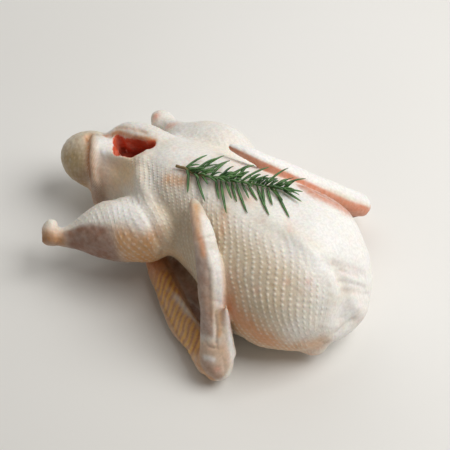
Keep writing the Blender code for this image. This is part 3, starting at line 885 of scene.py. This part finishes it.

# Patches of colour: paint, share, width in mm, path. Some are painted shade or painted highlights, as
# marked
PATCHES = (
    # painted shade low on the near side under the vent
    ("buff", 0.4, 12, ((-98, -36, 48), (-90, -38, 44))),
    ("cream", 0.85, 15, ((-98, -27, 60), (-92, -22, 68), (-82, -20, 76))),
    ("blush", 0.9, 11, ((-116, -20, 71), (-111, -25, 63), (-107, -28, 54))),
    # painted shade under the tail's flap
    ("shade_brown", 0.55, 8, ((-110, -36, 46), (-109, -36, 37), (-108, -34, 29))),
    # painted shade on the skin between the near forearm and the body
    ("shade_brown", 0.75, 9, MEMBRANE),
    ("pink", 0.4, 4, ((10, -55, 22), (20, -59, 22))),
    # painted shade on the near flank
    ("beige", 0.6, 20, ((-30, -56, 70), (-10, -58, 62), (4, -62, 60))),
    ("tan", 0.6, 3.0, FLAP_EDGE),
    ("tan", 0.9, 3.4, TAIL_FOLD),
    ("rust", 0.7, 1.8, TAIL_FOLD),
    ("rust", 0.8, 2.4, TAIL_NOTCH),
    # painted shade under the tail
    ("shade_brown", 0.4, 9, ((-122, -35, 54), (-130, -37, 44))),
    # painted shade, in tan, low on the skirt
    ("tan", 0.7, 13, ((-114, -31, 34), (-113, -34, 20))),
    ("tan", 0.35, 6, ((-110, -27, 60), (-107, -31, 50))),
    ("rust", 0.9, 2.6, ((-130, 0, 70), (-125, 1, 73))),
    ("white", 0.9, 6, ((-122, -8, 75), (-118, -12, 76), (-114, -16, 76))),
    ("ochre", 0.6, 11, ((-38, -78, 60), (-28, -71, 64), (-20, -62, 68))),
    ("tan", 0.4, 5, ((-19, -58, 74), (-18, -52, 78))),
    ("cream", 0.8, 13, ((-26, -70, 48), (-18, -62, 46), (-8, -54, 44))),
    ("ochre", 0.4, 8, ((-30, -74, 46), (-20, -66, 42))),
    # ochre on the near hock's underside, with painted shade over it
    ("ochre", 1.0, 8.5, ((-96, -97, 45), (-103, -101, 47), (-110, -104, 44))),
    ("shade_brown", 0.5, 7.5, ((-97, -99, 44), (-103, -103, 45), (-109, -105, 43))),
    ("tan", 1.0, 13, THUMB_SIDE),
    ("flush", 0.3, 10, THUMB_SIDE),
    ("tan", 0.6, 16, ((88, -70, 46), (104, -66, 36), (118, -56, 28))),
    ("tan", 0.8, 10, ((90, -72, 26), (104, -64, 16), (118, -52, 12), (130, -42, 16))),
    ("tan", 0.55, 9, ((126, -46, 22), (135, -40, 28))),
    ("ochre", 0.4, 10, ((81, -73, 48), (95, -72, 44), (106, -67, 42), (120, -57, 33))),
    ("ochre", 0.6, 9, ((120, -57, 33), (129, -51, 37), (137, -39, 38))),
    ("pink", 0.4, 3.5, ((85, -56, 85),)),
    ("pink", 0.4, 3, ((101, -40, 92),)),
    ("pink", 0.4, 3, ((115, -29, 92),)),
    ("tan", 0.75, 6, ((-38, -18, 95), (-31, -16, 97), (-24, -13, 99))),
    ("tan", 0.5, 4, ((23, -19, 102), (33, -35, 96))),
    ("flush", 0.25, 8, ((58, -58, 84), (64, -62, 80))),
    # painted highlight along the keel's ridge
    ("white", 0.6, 9, KEEL_LINE[1:6]),
    # painted light on the front of the neck end
    ("white", 0.6, 8, ((142, -3, 60), (148, -2, 52), (151, 0, 42))),
    ("tan", 0.7, 2.8, HAND_STRIPE),
    ("flush", 0.4, 1.8, HAND_STRIPE[3:]),
    # painted highlight on the near hand's edge
    ("white", 0.5, 3.0, HAND_EDGE),
    ("buff", 0.7, 6, ((2, -33, 109), (8, -36, 110))),
    # painted light on the near hand's face towards the lamp
    ("white", 0.9, 5.0, HAND_FACE),
    # painted highlight on the top of the near leg
    ("white", 0.8, 9, ((-62, -60, 76), (-46, -58, 80), (-34, -58, 80))),
    ("tan", 0.8, 2.6, THUMB_BAND),
    # painted shade in the crease by the thumb
    ("shade_brown", 0.3, 1.2, THUMB_LINE),
    # painted light on the thumb's face
    ("white", 0.95, 4.0, THUMB_FACE),
    ("beige", 0.75, 6, ((62, -102, 34), (70, -104, 36), (78, -98, 36))),
    # painted shade under the near wrist
    ("mauve", 0.6, 6, ((72, -109, 27), (79, -109, 22), (84, -108, 18))),
    ("pink", 0.6, 3, ((83, -106, 26),)),
    # painted highlights on the near wrist
    ("white", 0.7, 2.6, ((70, -106, 32), (73, -105, 33), (77, -104, 33))),
    # painted highlights along the near forearm's edge
    ("white", 0.6, 3, ((12, -72, 27), (20, -74, 26), (28, -77, 25), (36, -78, 23), (42, -78, 17))),
    ("rust", 0.8, 12, ((-30, -54, 22), (-20, -60, 22), (-8, -66, 22))),
    ("rust", 0.7, 4, ((-4, -62, 27), (6, -66, 27), (14, -69, 26))),
    ("rust", 0.6, 6, ((48, -92, 26), (56, -96, 24))),
    ("pink", 0.8, 1.8, PINK_LINE),
    ("pink", 0.3, 7, ((147, -1, 50), (150, 2, 38))),
    ("pink", 0.85, 4.5, ((-120, 60, 51),)),
    ("mauve", 0.35, 3.5, ((-126, 64, 44), (-120, 58, 44))),
    ("pink", 0.7, 5, ((-100, 54, 57), (-94, 55, 60))),
    # painted shade in the neck end's wrinkles
    ("mauve", 0.25, 2.5, NECK_LINES[1]),
    ("fawn", 0.5, 3.5, NECK_LINES[0]),
    ("fawn", 0.5, 3.5, NECK_LINES[2]),
    ("tan", 0.95, 2.8, FAR_FLAP_EDGE),
    ("flush", 0.45, 1.6, FAR_FLAP_EDGE),
    ("tan", 0.5, 2.2, FAR_FLAP_LINE),
    ("pink", 0.5, 2.5, ((-75, -5, 90),)),
    ("flush", 0.95, 5.5, FAR_FOLD),
    ("flush", 1.0, 6, FAR_FOLD_BACK),
    ("flush", 1.0, 6, FAR_FOLD_TOP),
    # painted shade in the far fold
    ("shade_brown", 0.3, 4.5, FAR_FOLD_BACK),
    ("flush", 0.4, 2.4, ((96, 50, 84), (99, 56, 78))),
    ("pink", 0.35, 5, ((1, -4, 103), (19, -4, 104), (35, 0, 105))),
    ("tan", 0.4, 6, ((-28, -6, 100), (-15, -3, 102))),
    ("pink", 0.35, 3, ((59, 13, 104), (68, 7, 104), (79, -5, 106))),
)


def colour_masks(points):
    """Shares of each paint at each point."""
    masks = {name: np.zeros(len(points)) for name in PAINTS}

    def add(name, share):
        masks[name] = np.maximum(masks[name], share)

    u, v, radii = on_torso(points)
    inside = fade(radii, 1.12, 1.3)
    # Beige on the torso's lower sides, near and far, below the keel: painted shade
    side = ease(u, -110, -20) * ease(v, 8, 42) * fade(points[:, 0], 100, 132)
    add("beige", 0.85 * inside * side * fade(points[:, 1], -6, 6))
    add("beige", 0.7 * inside * side * ease(v, 66, 100))
    # White on the upper far side of the breast, towards the front: painted light where the lamp falls on
    # it
    add("white", 0.7 * inside * ease(u, 10, 50) * ease(points[:, 1], -12, 12) * fade(v, 66, 100))
    outer = np.zeros(len(points))
    for rows, side in ((NEAR_FOREARM, 1), (FAR_FOREARM, -1)):
        stripes, inside = quill_rows(rows, side, points)
        add("yellow", 0.9 * inside * stripes)
        add("rust", 0.5 * inside * (1 - stripes))
        add("mauve", 0.3 * inside * (1 - stripes))
        _, turn, radii = by_form(rows, points)
        lower = ease(side * turn, 0.6, 1.4)
        skin = fade(radii - 0.5 * lower, 1.1, 1.35)
        add("ochre", 0.7 * skin)
        outer = np.maximum(outer, skin * lower)
    place, turn, radii = by_form(NEAR_LEG, points)
    # Mauve on the near leg's lower half, and dark brown under it: painted shade
    add("mauve", 0.92 * calf(points))
    add("shade_brown", 0.4 * calf(points) * ease(-turn, 0.8, 1.3))
    # Ochre on the near side of the thigh: painted shade in a warm orange-tan
    thigh = fade(radii, 1.2, 1.4) * ease(-turn, 0.2, 0.95)
    add("ochre", 0.85 * thigh * fade(place, 38, 64) * ease(place, 4, 22))
    place, turn, radii = by_form(TAIL, points)
    # Buff over the tail's bulb, more on its near underside: painted shade
    add("buff", fade(radii, 1.2, 1.4) * ease(place, 28, 42) * (0.6 + 0.5 * ease(-turn, -0.2, 1.2)))
    # The webs tucked under the body: painted shade
    for rows in (NEAR_WEB, FAR_WEB):
        radii = by_form(rows, points)[2]
        add("shade_brown", 0.85 * fade(radii, 1.05, 1.3) * (1 - outer))
    place, turn, radii = by_form(NEAR_HAND, points)
    inside = fade(radii, 1.12, 1.3)
    # Mauve on the near half of the near hand: painted shade, the far half stays pale in the light
    add("mauve", 0.75 * inside * ease(-turn, -0.08, 0.2) * ease(place, 38, 46) * fade(place, 100, 130))
    add("fawn", 0.85 * inside * ease(-turn, 0.25, 0.6) * ease(place, 100, 125))
    add("fawn", 0.85 * inside * fade(place, 34, 44) * fade(turn, 0.7, 1.1))
    _, turn, radii = by_form(FAR_HAND, points)
    inside = fade(radii, 1.1, 1.3)
    # The far hand: its pink underside, partly its own colour and partly painted shade, and white on its
    # top as painted light
    add("flush", 0.95 * inside * ease(-turn, FAR_HAND_TURN, FAR_HAND_TURN + 0.3))
    add("white", 0.8 * inside * fade(-turn, FAR_HAND_TURN - 0.3, FAR_HAND_TURN))
    for name, share, width, path in PATCHES:
        add(name, share * closeness(points, path, width))
    rim = np.interp(points[:, 0], *zip(*VENT_RIM))
    raw = fade(from_vent(points), 0.6, 1.3) * fade(points[:, 2] - rim, -0.5, 1.2)
    raw *= ease(points[:, 0] + 0.8 * points[:, 1], -118, -116.6)
    add("raw", 1.5 * raw)
    # Darker red lower down in the vent's hollow: painted shade
    add("hollow_shade", 1.3 * raw * fade(points[:, 2] - rim + 0.25 * (points[:, 0] + 118), -17, -5))
    return masks


class Finish:
    """A material built from nodes."""

    def __init__(self, name):
        self.material = bpy.data.materials.new(name)
        self.material.use_nodes = True
        self.tree = self.material.node_tree
        self.surface = self.tree.nodes["Principled BSDF"]

    def add(self, kind, values=(), **settings):
        made = self.tree.nodes.new("ShaderNode" + kind)
        for name, value in settings.items():
            setattr(made, name, value)
        for key, value in dict(values).items():
            self.feed(made.inputs[key], value)
        return made

    def feed(self, socket, value):
        if isinstance(value, bpy.types.NodeSocket):
            self.tree.links.new(value, socket)
        else:
            socket.default_value = value

    def set(self, **values):
        for key, value in values.items():
            self.feed(self.surface.inputs[key.replace("_", " ")], value)

    def mask(self, name):
        return self.add("Attribute", attribute_name=name).outputs["Fac"]

    def math(self, operation, *values):
        return self.add("Math", enumerate(values), operation=operation).outputs[0]

    def scaled(self, value, low, high, out_low=0.0, out_high=1.0):
        values = {0: value, 1: low, 2: high, 3: out_low, 4: out_high}
        return self.add("MapRange", values, interpolation_type="SMOOTHSTEP").outputs[0]

    def mixed(self, share, first, second, blend="MIX"):
        values = {0: share, 6: first, 7: second}
        return self.add("Mix", values, data_type="RGBA", blend_type=blend).outputs[2]

    def noise(self, size, detail):
        """Noise with features of a size in mm."""
        place = self.add("TexCoord").outputs["Object"]
        values = {"Vector": place, "Scale": 1 / (size * MM), "Detail": detail, "Roughness": 0.55}
        return self.add("TexNoise", values).outputs["Fac"]

    def bump(self, height, distance):
        values = {"Height": height, "Distance": distance * MM, "Strength": 1.0}
        return self.add("Bump", values).outputs[0]


def skin_finish():
    finish = Finish("raw duck skin")
    lattice = finish.add("Attribute", attribute_name="lattice").outputs["Vector"]
    parts = finish.add("SeparateXYZ", {0: lattice})
    column, step, strength = parts.outputs
    off_column = finish.math("SUBTRACT", column, finish.math("ROUND", column))
    off_step = finish.math("SUBTRACT", step, finish.math("ROUND", step))
    off_step = finish.math("MULTIPLY", off_step, PIMPLE_STEP)
    square = finish.math("ADD", finish.math("POWER", off_column, 2.0), finish.math("POWER", off_step, 2.0))
    away = finish.math("SQRT", square)
    dot = finish.scaled(away, 0.30, 0.06)
    dot = finish.math("MULTIPLY", dot, finish.scaled(strength, 0.0, 0.5))
    crest = finish.scaled(finish.math("ABSOLUTE", off_column), 0.32, 0.02)
    crest = finish.math("MULTIPLY", crest, strength)

    colour = finish.mixed(finish.scaled(finish.noise(38, 2), 0.35, 0.7), SKIN, SKIN_DEEP)
    colour = finish.mixed(finish.scaled(finish.noise(11, 4), 0.5, 0.8, 0, 0.35), colour, PINK)
    patchy = finish.scaled(finish.noise(7, 3), 0.25, 0.75, 0.85, 1.12)
    for name, paint in PAINTS.items():
        values = {0: finish.mask(name), 1: patchy}
        share = finish.add("Math", values, operation="MULTIPLY", use_clamp=True)
        colour = finish.mixed(share.outputs[0], colour, tone(*paint))
    pale = finish.math("ADD", finish.math("MULTIPLY", dot, 0.38), finish.math("MULTIPLY", crest, 0.2))
    pale = finish.math("MULTIPLY", pale, finish.scaled(finish.mask("mauve"), 0.0, 1.0, 1.0, 0.45))
    colour = finish.mixed(pale, colour, FOLLICLE)
    shade = finish.scaled(finish.noise(2.2, 2), 0.3, 0.7, 0.93, 1.05)
    shade = finish.add("CombineColor", {0: shade, 1: shade, 2: shade}).outputs[0]
    colour = finish.mixed(1.0, colour, shade, "MULTIPLY")

    height = finish.math("MULTIPLY", dot, 0.4)
    fine = finish.math("MULTIPLY", finish.noise(1.6, 3), 0.14)
    height = finish.math("ADD", height, fine)
    finish.set(
        Base_Color=colour,
        Roughness=finish.scaled(finish.noise(7, 3), 0.3, 0.7, 0.36, 0.55),
        Normal=finish.bump(height, 0.8),
        IOR=1.4,
        Subsurface_Weight=0.22,
        Subsurface_Radius=(0.0055, 0.0026, 0.0014),
        Subsurface_Scale=1.0,
        Coat_Weight=0.12,
        Coat_Roughness=0.25,
    )
    return finish.material


def leaf_finish():
    finish = Finish("rosemary leaf")
    colour = finish.mixed(finish.scaled(finish.noise(7, 2), 0.3, 0.7), LEAF_DARK, LEAF)
    paints = (("rib", 0.75, LEAF_RIB), ("under", 0.6, LEAF_UNDER), ("wood", 1.0, STEM_BARK))
    for name, share, paint in paints:
        colour = finish.mixed(finish.math("MULTIPLY", finish.mask(name), share), colour, paint)
    finish.set(
        Base_Color=colour,
        Roughness=finish.scaled(finish.noise(3, 2), 0.3, 0.7, 0.38, 0.55),
        Normal=finish.bump(finish.noise(0.9, 2), 0.15),
        Subsurface_Weight=0.05,
        Subsurface_Radius=(0.0006, 0.0012, 0.0003),
    )
    return finish.material


def stage_finish():
    finish = Finish("pale floor")
    colour = finish.mixed(finish.scaled(finish.noise(600, 2), 0.3, 0.7), FLOOR, FLOOR_SHADE)
    finish.set(Base_Color=colour, Roughness=0.9, Specular_IOR_Level=0.1)
    return finish.material


def write_masks(data, masks):
    for name, values in masks.items():
        layer = data.attributes.new(name, "FLOAT", "POINT")
        layer.data.foreach_set("value", np.clip(values, 0, 1).astype(np.float32))


def skin_height(skin, x, y):
    """Height of the duck's upper skin over a place, in mm."""
    hit = skin.ray_cast(Vector((x, y, 200)) * MM, Vector((0, 0, -1)))
    return hit[0].z / MM if hit[0] else 0.0


class Sprig:
    """The sprig's closed skins and their colour masks, gathered leaf by leaf."""

    def __init__(self):
        self.skins = []
        self.masks = {"rib": [], "under": [], "wood": []}

    def add(self, rings, rib, under, wood):
        """A skin over rings of points. The masks go round a ring, or along the rings for wood."""
        self.skins.append(mesh_from_rings("leaf", [[point * MM for point in ring] for ring in rings]))
        for share in wood:
            self.masks["rib"].extend(rib)
            self.masks["under"].extend(under)
            self.masks["wood"].extend([share] * len(rib))

    def mesh(self):
        data = joined("rosemary", self.skins)
        write_masks(data, self.masks)
        data.shade_smooth()
        return data


def stem_points(skin):
    places = smooth_rows(STEM, STEPS)
    points = [Vector((x, y, skin_height(skin, x, y) + STEM_RISE)) for x, y in places]
    # The bare end lifts off the skin a little
    points[0].z += 1.0
    points[1].z += 0.5
    return points


def add_stem(sprig, points, rng):
    rings = []
    wood = []
    for i, point in enumerate(points):
        along = (points[min(i + 1, len(points) - 1)] - points[max(i - 1, 0)]).normalized()
        across = along.cross(UP).normalized()
        upward = across.cross(along)
        share = i / len(points)
        radius = STEM_RADIUS * (1.0 - 0.45 * share) * rng.uniform(0.9, 1.08)
        turns = [2 * math.pi * k / STEM_SIDES for k in range(STEM_SIDES)]
        rings.append([point + radius * (across * math.cos(t) + upward * math.sin(t)) for t in turns])
        wood.append(1.0 - 0.75 * min(max((share - 0.1) / 0.5, 0), 1))
    plain = [0.0] * STEM_SIDES
    sprig.add(rings, plain, plain, wood)


# A leaf's section: place across, place up, closeness to the midrib, underside
SECTION = (
    (1.0, 0.0, 0.0, 0.0),
    (0.62, 0.62, 0.0, 0.0),
    (0.18, 0.66, 0.25, 0.0),
    (0.0, 0.34, 1.0, 0.0),
    (-0.18, 0.66, 0.25, 0.0),
    (-0.62, 0.62, 0.0, 0.0),
    (-1.0, 0.0, 0.0, 0.0),
    (-0.6, -0.6, 0.0, 1.0),
    (0.0, -1.0, 0.6, 1.0),
    (0.6, -0.6, 0.0, 1.0),
)
# Share of a leaf's length, and of its width there
LEAF_STATIONS = (
    (0, 0.45), (0.08, 0.7), (0.2, 0.92), (0.35, 1.0), (0.55, 1.0), (0.75, 0.85), (0.9, 0.6),
    (0.97, 0.36), (1.0, 0.12),
)
# Places around a leaf where the skin under it is felt, in mm
FEELERS = [(dx, dy) for dx in (-1.3, 0, 1.3) for dy in (-1.3, 0, 1.3)]


def add_needle(sprig, skin, points, place, angle, length, lift, roll):
    """A narrow leaf that leaves the stem at an angle, rises, and bends down to the skin."""
    index = place * (len(points) - 1)
    low = min(int(index), len(points) - 2)
    base = points[low].lerp(points[low + 1], index - low)
    along = (points[low + 1] - points[low]).normalized()
    turn = math.radians(angle)
    c, s = math.cos(turn), math.sin(turn)
    out = Vector((along.x * c - along.y * s, along.x * s + along.y * c, 0)).normalized()
    side = Vector((-out.y, out.x, 0))
    rings = []
    for part, share in LEAF_STATIONS:
        bend = math.copysign(NEEDLE_BEND * length * part * part, -angle)
        point = base + out * length * part + side * bend
        point.z += lift * math.sin(math.pi * NEEDLE_ARCH * part)
        if part:
            under = max(skin_height(skin, point.x + dx, point.y + dy) for dx, dy in FEELERS)
            point.z = max(point.z, under + NEEDLE_CLEARANCE)
        tilt = math.radians(roll) * part
        wide = side * math.cos(tilt) + UP * math.sin(tilt)
        thick = UP * math.cos(tilt) - side * math.sin(tilt)
        wide *= NEEDLE_WIDTH / 2 * share
        thick *= NEEDLE_THICKNESS / 2 * max(share, 0.4)
        rings.append([point + wide * across + thick * up for across, up, _, _ in SECTION])
    _, _, rib, under = zip(*SECTION)
    sprig.add(rings, rib, under, [0.0] * len(rings))


def sprig_mesh(skin):
    sprig = Sprig()
    points = stem_points(skin)
    rng = np.random.default_rng(SEED)
    leaves = list(NEEDLES)
    for place in np.linspace(0.1, 0.93, INNER_NEEDLES):
        angle = rng.uniform(*INNER_ANGLES) * rng.choice((-1, 1))
        leaves.append((place, angle, rng.uniform(*INNER_LENGTHS), rng.uniform(*INNER_LIFTS)))
    looks = np.random.default_rng(SEED + 1)
    add_stem(sprig, points, looks)
    for leaf in leaves:
        add_needle(sprig, skin, points, *leaf, looks.uniform(-NEEDLE_TILT, NEEDLE_TILT))
    return sprig.mesh()


def piece(name, data, material):
    data.transform(Matrix.Translation(Vector(ORIGIN * MM)))
    data.materials.clear()
    data.materials.append(material)
    return linked(name, data)


def make_duck():
    data = duck_form()
    points = coordinates(data)
    points += normals(data) * relief(points)[:, None]
    points[:, 2] = np.maximum(points[:, 2], -ORIGIN[2])
    set_coordinates(data, points)
    data = reduced(data, DUCK_TRIANGLES)
    points = coordinates(data)
    lattice = data.attributes.new("lattice", "FLOAT_VECTOR", "POINT")
    lattice.data.foreach_set("vector", np.stack(follicles(points), axis=1).astype(np.float32).ravel())
    write_masks(data, colour_masks(points))
    data.shade_smooth()
    return data


def aimed(obj, target):
    way = Vector(target) - obj.location
    obj.rotation_mode = "QUATERNION"
    obj.rotation_quaternion = way.to_track_quat("-Z", "Y")


def add_light(name, place, size, watts, colour):
    data = bpy.data.lights.new(name, "AREA")
    data.shape = "RECTANGLE"
    data.size, data.size_y = size
    data.energy = watts
    data.color = colour
    obj = linked(name, data)
    obj.location = place
    aimed(obj, LIGHT_TARGET)


def add_camera():
    azimuth, elevation, roll = (math.radians(value) for value in CAMERA_TURN)
    level = Vector((math.cos(azimuth), math.sin(azimuth), 0))
    reach = math.cos(elevation)
    back = Vector((math.sin(azimuth) * reach, -math.cos(azimuth) * reach, math.sin(elevation)))
    upward = back.cross(level)
    right = level * math.cos(roll) - upward * math.sin(roll)
    top = level * math.sin(roll) + upward * math.cos(roll)
    data = bpy.data.cameras.new("camera")
    data.sensor_width = CAMERA_SENSOR
    data.lens = CAMERA_LENS
    obj = linked("camera", data)
    turn = Matrix((right, top, back)).transposed().to_4x4()
    obj.matrix_world = Matrix.Translation(CAMERA_PLACE) @ turn
    bpy.context.scene.camera = obj


def add_stage():
    data = bpy.data.meshes.new("floor")
    corners = [(x * FLOOR_REACH, y * FLOOR_REACH, 0) for x, y in ((-1, -1), (1, -1), (1, 1), (-1, 1))]
    data.from_pydata(corners, [], [(0, 1, 2, 3)])
    data.materials.append(stage_finish())
    floor = linked("floor", data)
    floor.location.z = -FLOOR_DROP
    world = bpy.data.worlds.new("studio")
    world.use_nodes = True
    sky = world.node_tree.nodes["Background"]
    sky.inputs["Color"].default_value = WORLD_COLOUR
    sky.inputs["Strength"].default_value = WORLD_STRENGTH
    bpy.context.scene.world = world
    for light in LIGHTS:
        add_light(*light)


def main():
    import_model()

    duck_data = make_duck()
    sprig_data = sprig_mesh(surface(duck_data))

    duck = piece("duck_skin", duck_data, skin_finish())
    sprig = piece("rosemary_sprig", sprig_data, leaf_finish())
    for obj, node, slot in ((duck, "duck", "skin"), (sprig, "rosemary", "leaf")):
        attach(obj, "root")
        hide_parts(node)

    add_stage()
    add_camera()
    bpy.context.scene.view_settings.view_transform = "Standard"


main()
